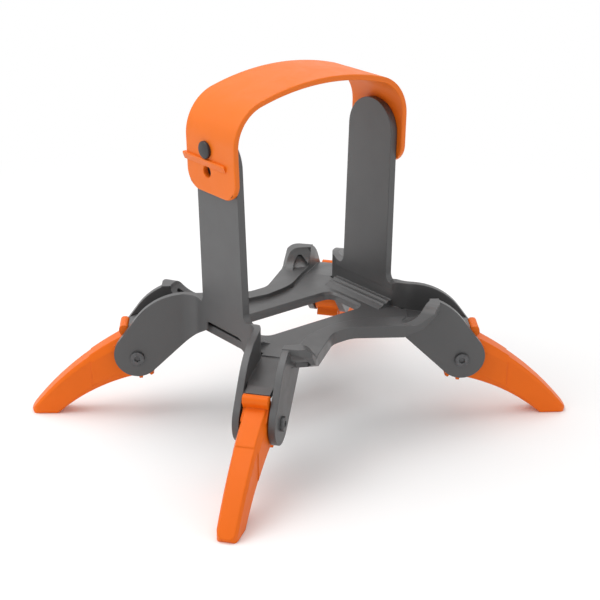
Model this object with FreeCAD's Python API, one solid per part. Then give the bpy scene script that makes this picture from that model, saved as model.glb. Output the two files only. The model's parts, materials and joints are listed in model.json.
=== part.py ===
import FreeCAD, Part
import math
import os

# Folding landing gear for a small camera drone.
# A moulded cradle frame holds the drone between two upright plates, a soft strap arches over it,
# and four legs fold in under the frame on pivots between the cheeks of each arm.
# Millimetres. X runs across the plates, Y along them, Z up. The soles stand on Z = 0.

# Upright plates
PLATE_GAP = 64.0
PLATE_T = 2.8
PLATE_LEAN_DEG = 1.75
PLATE_HALF_WIDTH = 12.4
PLATE_TOP_HALF = 11.8
NOTCH_Z = 48.5
NOTCH_R = 3.6
WALL_BEND_R = 8.0
PLATE_FOOT_Z = 42.5
PLATE_FOOT_HALF = 10.0
FOOT_SLOPE = 0.8
FOOT_R = 6.0
FOOT_BLEND = 1.0
NOTCH_LEDGE = 0.8

# Tray between the plates
TRAY_TOP = 40.0
TRAY_T = 3.0
TRAY_ARM_BACK = 20.0
TRAY_EDGE_X = 14.0
TRAY_EDGE_INSET = 4.0
TRAY_WAIST_X = 4.0
TRAY_WAIST_INSET = 3.0
TRAY_CHEEK_INSET = 0.2
PLATE_EMBED = 0.8
CORNER_EMBED = 0.6
CHEEK_EMBED = 0.4
OPENING_X = 46.2
OPENING_Y = 19.0
OPENING_R = 3.5
OPENING_CHAMFER = 0.9
RAMP_RISE = 2.4
RAMP_RUN = 6.5
RAMP_TUCK = 1.0
FOOT_BEVEL_RUN = 7.4
BEAD_R = 0.9
BEAD_PROUD = 0.3
BEAD_PITCH = 2.0
BEAD_FIRST = 1.2
BEAD_COUNT = 2

# Saddle rims and their end lugs
RIM_RISE = 1.6
RIM_MID_IN_Y = 19.0
RIM_MID_OUT_Y = 25.5
RIM_BEND_X = 12.5
RIM_BEND_OUT = 1.9
RIM_BEND_R = 24.0
RIM_FLAT_X = 4.5
RIM_FLAT_R = 8.0
RIM_TURN_X = 20.5
RIM_TURN_Y = 36.9
RIM_TURN_R = 4.0
LUG_FREE_X = 24.6
LUG_FREE_Y = 40.8
LUG_BACK_X = 29.4
LUG_BACK_Y = 44.3
LUG_TIP_BACK = 9.3
LUG_TIP_ACROSS = 11.0
LUG_ROOT_BACK = 0.5
LUG_ROOT_FRONT = 3.5
LUG_TURN_DEG = 27.8
LUG_FACE_T = 47.2
LUG_CURVE_R = 8.5
LUG_ARCH_R = 5.0
LUG_ARCH_FOOT = 2.2
LUG_ARCH_CROWN = 6.0
LUG_FACE_DRAFT = 0.3
LUG_TOP_Z = 48.3
LUG_DEPTH = 5.0
LUG_WALL = 2.2
LUG_BACK_HEIGHT = 3.0
LUG_BACK_SLOPE_RUN = 3.8
LUG_BACK_SLOPE_DROP = 7.8
LUG_HEEL_RUN = 10.3
HOOD_START = 4.6
HOOD_END = 16.0
HOOD_ARCH_FOOT = 2.4
HOOD_ARCH_CROWN = 6.4
HOOD_ARCH_DROP = 1.0
HOOD_ARCH_R = 4.0
POCKET_DEPTH = 1.1
POCKET_START = 8.0
POCKET_FROM = 5.0
POCKET_TO = 13.0
POCKET_HEIGHT = 5.0
POCKET_SINK = 0.4
POCKET_R = 1.6

# Arms: two cheeks with a web between them
PIVOT_X = 47.1
PIVOT_Y = 38.3
PIVOT_Z = 24.5
ARM_YAW_DEG = 36.5
CHANNEL_HALF = 5.2
CHEEK_T = 2.45
NOSE_R = 8.7
NOSE_RISE = 1.2
CHEEK_UPPER_DEG = 36.0
CHEEK_LOWER_DEG = 43.5
CHEEK_TOP_Z = 50.1
CHEEK_CURVE_R = 24.0
CHEEK_ROOT = 27.0
CHEEK_TOP_BACK = 4.0
CHEEK_BLEND = 7.0
CHEEK_TUCK = 0.5
INNER_CHEEK_END = 12.6
WEB_T = 2.2
WEB_TIP_T = 1.6
WEB_ROOT_BACK = 26.0
WEB_BEND_BACK = 23.0
WEB_MID_BACK = 12.0
WEB_MID_DROP = 1.3
WEB_TAPER_BACK = 6.0
WEB_NOSE_BACK = 0.5
WEB_NOSE_RISE = 1.2
WEB_NOSE_R = 4.0
WEB_TIP = 3.2
WEB_TIP_HALF = 4.3
WEB_TIP_Z = 36.3

# Pivot hardware: a flanged barrel and a screw with the same head
BARREL_R = 2.0
BARREL_CLEARANCE = 0.05
BARREL_SHORT = 0.2
BORE_FLOOR = 2.6
SCREW_R = 1.25
SCREW_SHORT = 3.0
THREAD_CLEARANCE = 0.05
HEAD_R = 2.7
HEAD_T = 1.2
HEAD_SEAT_GAP = 0.02

# Legs
LEG_REACH = 41.4
LEG_SIDE_CLEARANCE = 0.35
HUB_R = 7.2
DETENT_R = 9.8
DETENT_WIDTH = 1.5
DETENT_TAPER = 0.4
DETENT_SINK = 1.5
DETENT_SIDE = 0.6
DETENT_ANGLES_DEG = (238.0, 265.0)
LIP_TOP_Z = 36.5
LIP_GAP = 0.1
LIP_T = 3.2
LIP_R = 1.4
LIP_SIDE = 0.25
LIP_ROOT_Z = 28.0
LIP_ROOT_IN = 0.9
LIP_FACE_HEIGHT = 3.5
LIP_NOSE = 0.3
LIP_NOSE_DROP = 2.4
LIP_UNDER_IN = 1.2
LIP_UNDER_DROP = 5.0
LIP_HEEL = 2.5
WEB_ROOM = 12.0
WEB_ROOM_IN = 0.6
WEB_ROOM_RISE = 1.0
CREST_HALF = 3.6
CREST_TOE_HALF = 2.9
FLANK_TOE_HALF = 4.0
LEG_ROOT_S = 2.0
TOE_Z = 1.5
LEG_ROOT_TOP_Z = 33.8
LEG_ROOT_LOW_Z = 15.6
CREST_MID_RUN = 0.57
CREST_MID_RISE = 0.55
UNDER_MID_RUN = 0.51
UNDER_MID_RISE = 0.635
FACET_DROP = 4.0
FACET_RISE = 3.0
FLANK_TOE_BACK = 1.2
FLANK_LIFT = 0.6
STEP_S = 17.8
STEP_DROP = 0.5
STEP_INSET = 0.3
STEP_SLANT = 0.03
SOLE_CUT = 0.2
SOLE_START = 31.6
SOLE_END = 40.4
TOE_R = 3.0

# Carry strap and its studs
STRAP_HALF_WIDTH = 14.4
STRAP_T = 2.1
STRAP_SEAT_GAP = 0.3
STRAP_TOP_Z = 132.8
PLATE_TOP_DROP = 15.4
STUD_DROP = 22.2
STRAP_HOLE_PITCH = 8.2
STRAP_END_DROP = 38.4
STRAP_CROWN_R = 105.0
STRAP_SHOULDER_R = 14.4
STRAP_END_R = 7.0
HOLE_OFFSET_Y = 2.2
STRAP_HOLE_R = 2.2
STUD_NECK_R = 2.0
STUD_HEAD_R = 3.1
STUD_HEAD_T = 1.3
STUD_SOCKET_DEPTH = 1.9
STUD_FIT = 0.02
STUD_SEAT_GAP = 0.05
GRIP_RISE = 0.8
GRIP_HEIGHT = 2.2
GRIP_STUD_GAP = 0.5
GRIP_END_Y = 9.3
GRIP_OVERHANG = 1.4
GRIP_SINK = 1.5
GRIP_ROUND = 0.45

# Blanks and cuts run past the faces that bound them by a little or by much
OVERRUN = 2.0
ROOM = 60.0

# Worked out from the sizes above
PLATE_IN_X = PLATE_GAP / 2
PLATE_OUT_X = PLATE_IN_X + PLATE_T
CHEEK_OUT = CHANNEL_HALF + CHEEK_T
TRAY_LOW = TRAY_TOP - TRAY_T
RIM_TOP = TRAY_TOP + RIM_RISE
NOSE_Z = PIVOT_Z + NOSE_RISE
HEAD_SEAT = CHEEK_OUT + HEAD_SEAT_GAP
LEG_HALF = CHANNEL_HALF - LEG_SIDE_CLEARANCE
BORE_R = BARREL_R + BARREL_CLEARANCE
LIP_IN = WEB_TIP + LIP_GAP
PLATE_TOP_Z = STRAP_TOP_Z - PLATE_TOP_DROP
STUD_Z = STRAP_TOP_Z - STUD_DROP
SPARE_HOLE_Z = STUD_Z - STRAP_HOLE_PITCH
STRAP_END_Z = STRAP_TOP_Z - STRAP_END_DROP
GRIP_HIGH_Z = STUD_Z - STUD_HEAD_R - GRIP_STUD_GAP
GRIP_LOW_Z = GRIP_HIGH_Z - GRIP_HEIGHT
YAW = math.radians(ARM_YAW_DEG)
ARMS = {
    "front_left": (-1, -1),
    "front_right": (1, -1),
    "rear_left": (-1, 1),
    "rear_right": (1, 1),
}
SIDES = {"left": -1, "right": 1}
ORIGIN = FreeCAD.Vector(0, 0, 0)
AXIS_X = FreeCAD.Vector(1, 0, 0)
AXIS_Y = FreeCAD.Vector(0, 1, 0)
AXIS_Z = FreeCAD.Vector(0, 0, 1)


def place(plane, a, b, level):
    """Point (a, b) of a flat drawing at a level along the drawing's normal."""
    if plane == "xy":
        return FreeCAD.Vector(a, b, level)
    if plane == "xz":
        return FreeCAD.Vector(a, level, b)
    return FreeCAD.Vector(level, a, b)


def outline(corners, plane, level):
    """Closed wire from corners (a, b) or (a, b, radius); a radius rounds its corner with an arc."""
    spots = [FreeCAD.Vector(c[0], c[1], 0) for c in corners]
    radii = [c[2] if len(c) > 2 else 0.0 for c in corners]
    count = len(spots)
    joins = []
    for i in range(count):
        here = spots[i]
        back = (spots[i - 1] - here).normalize()
        ahead = (spots[(i + 1) % count] - here).normalize()
        if radii[i] == 0:
            joins.append((here, None, here))
            continue
        half = back.getAngle(ahead) / 2
        reach = radii[i] / math.tan(half)
        bisector = (back + ahead).normalize()
        depth = radii[i] / math.sin(half) - radii[i]
        joins.append((here + back * reach, here + bisector * depth, here + ahead * reach))
    edges = []
    for i in range(count):
        start, middle, end = joins[i]
        if middle is not None:
            arc = [place(plane, p.x, p.y, level) for p in (start, middle, end)]
            edges.append(Part.Arc(arc[0], arc[1], arc[2]).toShape())
        following = joins[(i + 1) % count][0]
        if end.distanceToPoint(following) > 1e-4:
            ends = [place(plane, p.x, p.y, level) for p in (end, following)]
            edges.append(Part.LineSegment(ends[0], ends[1]).toShape())
    return Part.Wire(edges)


def prism(corners, plane, low, high):
    """Solid between two levels along the drawing's normal."""
    face = Part.Face(outline(corners, plane, low))
    return face.extrude(place(plane, 0, 0, high - low))


def cylinder(radius, low, high, centre_z=PIVOT_Z):
    """Cylinder along the pivot axis of an arm, between two offsets from its middle plane."""
    return Part.makeCylinder(radius, high - low, FreeCAD.Vector(0, low, centre_z), AXIS_Y)


def to_arm(shape):
    """Carry a shape from arm coordinates (outward, across, up) to the rear right arm."""
    shape = shape.copy()
    shape.rotate(ORIGIN, AXIS_Z, ARM_YAW_DEG)
    shape.translate(FreeCAD.Vector(PIVOT_X, PIVOT_Y, 0))
    return shape


def to_quadrant(shape, signs):
    """Mirror a rear right shape to the quadrant with these signs of X and Y."""
    if signs[0] < 0:
        shape = shape.mirror(ORIGIN, AXIS_X)
    if signs[1] < 0:
        shape = shape.mirror(ORIGIN, AXIS_Y)
    return shape


def arm_point(outward, across):
    """Plan position of a point given in arm coordinates, on the rear right arm."""
    x = PIVOT_X + outward * math.cos(YAW) - across * math.sin(YAW)
    y = PIVOT_Y + outward * math.sin(YAW) + across * math.cos(YAW)
    return x, y


def cheek_line_y(across, x):
    """Y where the cheek plane at this offset crosses a given X."""
    start_x, start_y = arm_point(0, across)
    return start_y + (x - start_x) * math.tan(YAW)


def tangent_corner(normal_deg):
    """Height of the corner between the nose's front tangent and another tangent of the nose."""
    return NOSE_Z + NOSE_R * math.tan(math.radians(normal_deg) / 2)


def cheek_solid(low, high):
    """Cheek plate with a round nose, a straight lower edge and a convex top, back to its root."""
    upper = math.radians(CHEEK_UPPER_DEG)
    rise = CHEEK_TOP_Z - (NOSE_Z + NOSE_R * math.sin(upper))
    top_s = NOSE_R * math.cos(upper) - rise * math.tan(upper)
    lower = math.radians(-90 - CHEEK_LOWER_DEG)
    touch_s = NOSE_R * math.cos(lower)
    touch_z = NOSE_Z + NOSE_R * math.sin(lower)
    root_z = touch_z + (touch_s + CHEEK_ROOT) * math.tan(math.radians(CHEEK_LOWER_DEG))
    corners = [
        (NOSE_R, tangent_corner(-90 - CHEEK_LOWER_DEG), NOSE_R),
        (NOSE_R, tangent_corner(CHEEK_UPPER_DEG), NOSE_R),
        (top_s, CHEEK_TOP_Z, CHEEK_CURVE_R),
        (-CHEEK_ROOT + CHEEK_TOP_BACK, CHEEK_TOP_Z, NOTCH_R),
        (-CHEEK_ROOT, NOTCH_Z),
        (-CHEEK_ROOT, root_z),
    ]
    return prism(corners, "xz", low, high)


def pivot_bore():
    """Barrel bore through both cheeks."""
    return cylinder(BORE_R, -CHEEK_OUT - OVERRUN, CHEEK_OUT + OVERRUN)


def side_wall():
    """Right upright plate, with the two outer cheeks that its foot bends into."""
    end = NOSE_R + OVERRUN
    out_y = cheek_line_y(-CHEEK_OUT, PLATE_OUT_X)
    in_y = cheek_line_y(-CHANNEL_HALF, PLATE_IN_X)
    out_end = arm_point(end, -CHEEK_OUT)
    in_end = arm_point(end, -CHANNEL_HALF)
    ribbon = [
        (in_end[0], -in_end[1]),
        (out_end[0], -out_end[1]),
        (PLATE_OUT_X, -out_y, WALL_BEND_R),
        (PLATE_OUT_X, out_y, WALL_BEND_R),
        out_end,
        in_end,
        (PLATE_IN_X, in_y, WALL_BEND_R + PLATE_T),
        (PLATE_IN_X, -in_y, WALL_BEND_R + PLATE_T),
    ]
    wall = prism(ribbon, "xy", 0, CHEEK_TOP_Z + OVERRUN)
    cheek = to_arm(cheek_solid(-CHEEK_OUT - CHEEK_BLEND, -OVERRUN))
    foot_end = in_y + FOOT_BLEND
    foot_drop = (foot_end - PLATE_FOOT_HALF) * FOOT_SLOPE
    foot = prism([
        (-foot_end, NOTCH_Z),
        (-foot_end, PLATE_FOOT_Z - foot_drop),
        (-PLATE_FOOT_HALF, PLATE_FOOT_Z, FOOT_R),
        (PLATE_FOOT_HALF, PLATE_FOOT_Z, FOOT_R),
        (foot_end, PLATE_FOOT_Z - foot_drop),
        (foot_end, NOTCH_Z),
    ], "yz", PLATE_IN_X - OVERRUN, PLATE_OUT_X + WALL_BEND_R)
    elevation = foot.multiFuse([cheek, to_quadrant(cheek, (1, -1))])
    wall = wall.common(elevation)
    return wall.fuse(upright_plate()).removeSplitter()


def upright_plate():
    """Right plate above the notch: rounded foot, fully round top, slight lean outward."""
    foot_half = PLATE_HALF_WIDTH + NOTCH_R + NOTCH_LEDGE
    taper = math.atan2(PLATE_HALF_WIDTH - PLATE_TOP_HALF, PLATE_TOP_Z - NOTCH_Z)
    tip_r = PLATE_TOP_HALF * math.tan((math.pi / 2 + taper) / 2)
    plate = prism([
        (-foot_half, NOTCH_Z - OVERRUN),
        (-foot_half, NOTCH_Z),
        (-PLATE_HALF_WIDTH, NOTCH_Z, NOTCH_R),
        (-PLATE_TOP_HALF, PLATE_TOP_Z, tip_r),
        (PLATE_TOP_HALF, PLATE_TOP_Z, tip_r),
        (PLATE_HALF_WIDTH, NOTCH_Z, NOTCH_R),
        (foot_half, NOTCH_Z),
        (foot_half, NOTCH_Z - OVERRUN),
    ], "yz", PLATE_IN_X, PLATE_OUT_X)
    return lean(plate)


def lean(shape):
    """Turn a shape outward about the foot line of the right plate."""
    shape = shape.copy()
    shape.rotate(FreeCAD.Vector(PLATE_IN_X, 0, NOTCH_Z), AXIS_Y, PLATE_LEAN_DEG)
    return shape


def tray():
    """Floor of the cradle with its central opening, ramps up to the plates and grip beads."""
    quarter = [
        (PLATE_IN_X + PLATE_EMBED, cheek_line_y(-CHANNEL_HALF, PLATE_IN_X) + CORNER_EMBED),
        arm_point(-TRAY_ARM_BACK, -CHANNEL_HALF - CHEEK_EMBED),
        arm_point(-TRAY_ARM_BACK, CHEEK_OUT - TRAY_CHEEK_INSET),
        (TRAY_EDGE_X, RIM_MID_OUT_Y - TRAY_EDGE_INSET),
        (TRAY_WAIST_X, RIM_MID_OUT_Y - TRAY_WAIST_INSET),
    ]
    corners = quarter
    corners = corners + [(-x, y) for x, y in corners[::-1]]
    corners = corners + [(x, -y) for x, y in corners[::-1]]
    return prism(corners, "xy", TRAY_LOW, TRAY_TOP)


def plate_ramp():
    """Ramp from the tray floor up to the right plate, thin under the plate's bevelled foot."""
    half = PLATE_HALF_WIDTH + NOTCH_R
    ramp = prism([
        (PLATE_IN_X - RAMP_RUN - OVERRUN, TRAY_TOP),
        (PLATE_IN_X - RAMP_RUN, TRAY_TOP),
        (PLATE_IN_X, TRAY_TOP + RAMP_RISE),
        (PLATE_IN_X + RAMP_TUCK, TRAY_TOP + RAMP_RISE + RAMP_TUCK),
        (PLATE_OUT_X, PLATE_FOOT_Z + RAMP_TUCK),
        (PLATE_OUT_X, PLATE_FOOT_Z),
        (PLATE_OUT_X - FOOT_BEVEL_RUN, TRAY_LOW),
        (PLATE_IN_X - RAMP_RUN - OVERRUN, TRAY_LOW),
    ], "xz", -half, half)
    slope = math.atan2(RAMP_RISE, RAMP_RUN)
    beads = []
    for i in range(BEAD_COUNT):
        run = BEAD_FIRST + i * BEAD_PITCH
        level = TRAY_TOP + RAMP_RISE - run * math.tan(slope) - (BEAD_R - BEAD_PROUD) / math.cos(slope)
        centre = FreeCAD.Vector(PLATE_IN_X - run, -half, level)
        beads.append(Part.makeCylinder(BEAD_R, 2 * half, centre, AXIS_Y))
    return ramp.multiFuse(beads)


def lug_frame(shape):
    """Carry a shape from lug coordinates (toward the arm, outward, up) to the rear right lug."""
    shape = shape.copy()
    shape.rotate(ORIGIN, AXIS_Z, -LUG_TURN_DEG)
    return shape


def saddle():
    """Rear right part of the saddle rim: flat in the middle, curving up into a hooded end lug."""
    plan = prism([
        (0, RIM_MID_IN_Y),
        (RIM_BEND_X, RIM_MID_IN_Y + RIM_BEND_OUT, RIM_BEND_R),
        arm_point(-INNER_CHEEK_END - LUG_ROOT_BACK, CHANNEL_HALF),
        arm_point(-INNER_CHEEK_END + LUG_ROOT_FRONT, CHANNEL_HALF),
        arm_point(-LUG_TIP_BACK, LUG_TIP_ACROSS),
        (LUG_BACK_X, LUG_BACK_Y),
        (LUG_FREE_X, LUG_FREE_Y),
        (RIM_TURN_X, RIM_TURN_Y, RIM_TURN_R),
        (RIM_FLAT_X, RIM_MID_OUT_Y, RIM_FLAT_R),
        (0, RIM_MID_OUT_Y),
    ], "xy", TRAY_LOW, LUG_TOP_Z + OVERRUN)
    wall = lug_wall()
    body = lug_frame(wall.common(lug_arch())).common(plan)
    return body.cut(hood_cavity()).cut(lug_pocket(wall))


def lug_wall():
    """Side view of the rim: flat, then an arc up to the lug's upright face, with its hood behind."""
    back = LUG_FACE_T + LUG_DEPTH
    return prism([
        (-OVERRUN, RIM_TOP),
        (LUG_FACE_T, RIM_TOP, LUG_CURVE_R),
        (LUG_FACE_T + LUG_FACE_DRAFT, LUG_TOP_Z),
        (back, LUG_TOP_Z),
        (back, LUG_TOP_Z - LUG_BACK_HEIGHT),
        (back - LUG_BACK_SLOPE_RUN, LUG_TOP_Z - LUG_BACK_SLOPE_DROP),
        (back - LUG_HEEL_RUN, TRAY_LOW),
        (-OVERRUN, TRAY_LOW),
    ], "yz", -ROOM, ROOM)


def lug_arch():
    """Outline of the lug seen from behind: straight beside the cheek, an arch on its free side."""
    floor = TRAY_LOW - OVERRUN
    return prism([
        (-ROOM, floor),
        (-ROOM, RIM_TOP),
        (LUG_ARCH_FOOT, RIM_TOP),
        (LUG_ARCH_CROWN, LUG_TOP_Z, LUG_ARCH_R),
        (ROOM, LUG_TOP_Z),
        (ROOM, floor),
    ], "xz", -OVERRUN, LUG_FACE_T + ROOM)


def hood_cavity():
    """Hollow behind the lug's curved wall, open outward and downward, clear of the cheek."""
    start = LUG_FACE_T - HOOD_START
    inner = LUG_FACE_T + LUG_WALL
    end = inner + LUG_DEPTH + OVERRUN
    top = LUG_TOP_Z - LUG_WALL
    floor = TRAY_LOW - OVERRUN
    hollow = prism([
        (start, floor),
        (start, RIM_TOP - LUG_WALL),
        (inner, RIM_TOP - LUG_WALL, LUG_CURVE_R),
        (inner, top),
        (end, top),
        (end, floor),
    ], "yz", 0, ROOM)
    arch = prism([
        (HOOD_ARCH_FOOT + LUG_WALL, floor),
        (HOOD_ARCH_FOOT + LUG_WALL, RIM_TOP - HOOD_ARCH_DROP),
        (HOOD_ARCH_CROWN + LUG_WALL, top, HOOD_ARCH_R),
        (HOOD_END, top),
        (HOOD_END, floor),
    ], "xz", 0, end)
    clear = to_arm(prism([
        (-ROOM, CHEEK_OUT),
        (0, CHEEK_OUT),
        (0, ROOM),
        (-ROOM, ROOM),
    ], "xy", floor, LUG_TOP_Z))
    return lug_frame(hollow.common(arch)).common(clear)


def lug_pocket(wall):
    """Shallow arched pocket of even depth in the foot of the lug's inner face."""
    arch = prism([
        (POCKET_FROM, RIM_TOP - POCKET_SINK),
        ((POCKET_FROM + POCKET_TO) / 2, RIM_TOP + POCKET_HEIGHT, POCKET_R),
        (POCKET_TO, RIM_TOP - POCKET_SINK),
    ], "xz", LUG_FACE_T - POCKET_START, LUG_FACE_T + LUG_DEPTH)
    kept = wall.copy()
    kept.translate(FreeCAD.Vector(0, POCKET_DEPTH, -POCKET_DEPTH))
    return lug_frame(arch.cut(kept))


def arm_root():
    """Rear right inner cheek with the web that joins it to the outer cheek."""
    cheek = cheek_solid(CHANNEL_HALF, CHEEK_OUT)
    keep = prism([
        (-INNER_CHEEK_END, LUG_TOP_Z),
        (-INNER_CHEEK_END, TRAY_TOP - CHEEK_TUCK),
        (-CHEEK_ROOT - OVERRUN, TRAY_TOP - CHEEK_TUCK),
        (-CHEEK_ROOT - OVERRUN, 0),
        (NOSE_R + OVERRUN, 0),
        (NOSE_R + OVERRUN, LUG_TOP_Z),
    ], "xz", CHANNEL_HALF - OVERRUN, CHEEK_OUT + OVERRUN)
    cheek = cheek.common(keep)
    span = CHANNEL_HALF + CHEEK_EMBED
    nose_z = WEB_TIP_Z + WEB_NOSE_RISE
    web = prism([
        (-WEB_ROOT_BACK, TRAY_TOP),
        (-WEB_BEND_BACK, TRAY_TOP),
        (-WEB_MID_BACK, TRAY_TOP - WEB_MID_DROP),
        (-WEB_NOSE_BACK, nose_z, WEB_NOSE_R),
        (WEB_TIP, WEB_TIP_Z),
        (WEB_TIP, WEB_TIP_Z - WEB_TIP_T),
        (-WEB_NOSE_BACK, nose_z - WEB_T),
        (-WEB_MID_BACK, TRAY_TOP - WEB_MID_DROP - WEB_T),
        (-WEB_BEND_BACK, TRAY_LOW),
        (-WEB_ROOT_BACK, TRAY_LOW),
    ], "xz", -span, span)
    plan = prism([
        (-WEB_ROOT_BACK - OVERRUN, -span),
        (-WEB_TAPER_BACK, -span),
        (WEB_TIP, -WEB_TIP_HALF),
        (WEB_TIP, WEB_TIP_HALF),
        (-WEB_TAPER_BACK, span),
        (-WEB_ROOT_BACK - OVERRUN, span),
    ], "xy", PIVOT_Z, TRAY_TOP + OVERRUN)
    return to_arm(cheek.fuse(web.common(plan)))


def opening_cut():
    """Central rectangular opening with rounded corners and a chamfered top edge."""
    half_x = OPENING_X / 2
    half_y = OPENING_Y / 2
    grow = OPENING_CHAMFER
    hole = prism([
        (half_x, half_y, OPENING_R),
        (-half_x, half_y, OPENING_R),
        (-half_x, -half_y, OPENING_R),
        (half_x, -half_y, OPENING_R),
    ], "xy", TRAY_LOW - OVERRUN, TRAY_TOP + OVERRUN)
    low = outline([
        (half_x, half_y, OPENING_R),
        (-half_x, half_y, OPENING_R),
        (-half_x, -half_y, OPENING_R),
        (half_x, -half_y, OPENING_R),
    ], "xy", TRAY_TOP - grow)
    high = outline([
        (half_x + 2 * grow, half_y + 2 * grow, OPENING_R + 2 * grow),
        (-half_x - 2 * grow, half_y + 2 * grow, OPENING_R + 2 * grow),
        (-half_x - 2 * grow, -half_y - 2 * grow, OPENING_R + 2 * grow),
        (half_x + 2 * grow, -half_y - 2 * grow, OPENING_R + 2 * grow),
    ], "xy", TRAY_TOP + grow)
    funnel = Part.makeLoft([low, high], True, True)
    return hole.fuse(funnel)


def stud_socket(side):
    """Blind socket in the outer face of a plate for a strap stud."""
    socket = Part.makeCylinder(
        STUD_NECK_R + STUD_FIT, STUD_SOCKET_DEPTH + OVERRUN,
        FreeCAD.Vector(PLATE_OUT_X - STUD_SOCKET_DEPTH, HOLE_OFFSET_Y, STUD_Z), AXIS_X)
    return to_quadrant(lean(socket), (side, 1))


def cradle_frame():
    """One-piece moulded frame."""
    wall = side_wall().fuse(plate_ramp())
    root = arm_root().fuse(saddle())
    pieces = [to_quadrant(wall, (side, 1)) for side in SIDES.values()]
    pieces += [to_quadrant(root, signs) for signs in ARMS.values()]
    body = tray().multiFuse(pieces)
    cuts = [opening_cut()]
    cuts += [stud_socket(side) for side in SIDES.values()]
    for signs in ARMS.values():
        cuts.append(to_quadrant(to_arm(pivot_bore()), signs))
    return body.cut(cuts).removeSplitter()


def leg_blade():
    """Blade of a leg: a flat crest and sole, widest along its flanks, narrowing to the toe."""
    crest = (CREST_HALF, CREST_TOE_HALF)
    flank = (LEG_HALF, FLANK_TOE_HALF)
    crest_heights = (LEG_ROOT_TOP_Z, LEG_ROOT_LOW_Z, -SOLE_CUT)
    flank_heights = (LEG_ROOT_TOP_Z - FACET_DROP, LEG_ROOT_LOW_Z + FACET_RISE, FLANK_LIFT)
    loops = [
        blade_loop(flank_heights, FLANK_TOE_BACK, flank, -1),
        blade_loop(crest_heights, 0.0, crest, -1),
        blade_loop(crest_heights, 0.0, crest, 1),
        blade_loop(flank_heights, FLANK_TOE_BACK, flank, 1),
    ]
    return Part.makeLoft(loops, True, True).cut(crest_step())


def crest_arc(root_top, toe_s, at):
    """Convex top line of the blade from its root to its toe."""
    middle = at(
        LEG_ROOT_S + (toe_s - LEG_ROOT_S) * CREST_MID_RUN, TOE_Z + (root_top - TOE_Z) * CREST_MID_RISE)
    return Part.Arc(at(LEG_ROOT_S, root_top), middle, at(toe_s, TOE_Z))


def crest_step():
    """Sliver above the crest beyond the sleeve, which leaves a small step at its end."""

    def at(outward, height):
        return FreeCAD.Vector(outward, -LEG_HALF - OVERRUN, height)

    corner = at(LEG_REACH, LEG_ROOT_TOP_Z)
    edges = [
        crest_arc(LEG_ROOT_TOP_Z - STEP_DROP, LEG_REACH, at),
        Part.LineSegment(at(LEG_REACH, TOE_Z), corner),
        Part.LineSegment(corner, at(LEG_ROOT_S, LEG_ROOT_TOP_Z)),
        Part.LineSegment(at(LEG_ROOT_S, LEG_ROOT_TOP_Z), at(LEG_ROOT_S, LEG_ROOT_TOP_Z - STEP_DROP)),
    ]
    above = Part.Face(Part.Wire([e.toShape() for e in edges]))
    sliver = above.extrude(FreeCAD.Vector(0, 2 * (LEG_HALF + OVERRUN), 0))
    return sliver.common(prism([
        (STEP_S, 0),
        (LEG_REACH + OVERRUN, 0),
        (LEG_REACH + OVERRUN, LIP_TOP_Z),
        (STEP_S + STEP_SLANT * LIP_TOP_Z, LIP_TOP_Z),
    ], "xz", -ROOM, ROOM))


def blade_loop(heights, toe_back, halves, side):
    """One outline of the blade, on a plane that closes in toward the toe."""
    root_top, root_low, lift = heights
    taper = (halves[0] - halves[1]) / (LEG_REACH - LEG_ROOT_S)

    def at(outward, height):
        return FreeCAD.Vector(outward, side * (halves[0] - taper * (outward - LEG_ROOT_S)), height)

    toe_s = LEG_REACH - toe_back
    sole_end = SOLE_END - toe_back
    low_mid = at(
        LEG_ROOT_S + (SOLE_START - LEG_ROOT_S) * UNDER_MID_RUN, lift + (root_low - lift) * UNDER_MID_RISE)
    edges = [
        crest_arc(root_top, toe_s, at),
        Part.LineSegment(at(toe_s, TOE_Z), at(sole_end, lift)),
        Part.LineSegment(at(sole_end, lift), at(SOLE_START, lift)),
        Part.Arc(at(SOLE_START, lift), low_mid, at(LEG_ROOT_S, root_low)),
        Part.LineSegment(at(LEG_ROOT_S, root_low), at(LEG_ROOT_S, root_top)),
    ]
    return Part.Wire([e.toShape() for e in edges])


def detent(angle_deg):
    """Small tapered ridge across the hub."""
    ridge = prism([
        (HUB_R - DETENT_SINK, -DETENT_WIDTH),
        (DETENT_R, -DETENT_WIDTH * DETENT_TAPER),
        (DETENT_R, DETENT_WIDTH * DETENT_TAPER),
        (HUB_R - DETENT_SINK, DETENT_WIDTH),
    ], "xz", -LEG_HALF + DETENT_SIDE, LEG_HALF - DETENT_SIDE)
    ridge.rotate(ORIGIN, AXIS_Y, -angle_deg)
    ridge.translate(FreeCAD.Vector(0, 0, PIVOT_Z))
    return ridge


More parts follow.
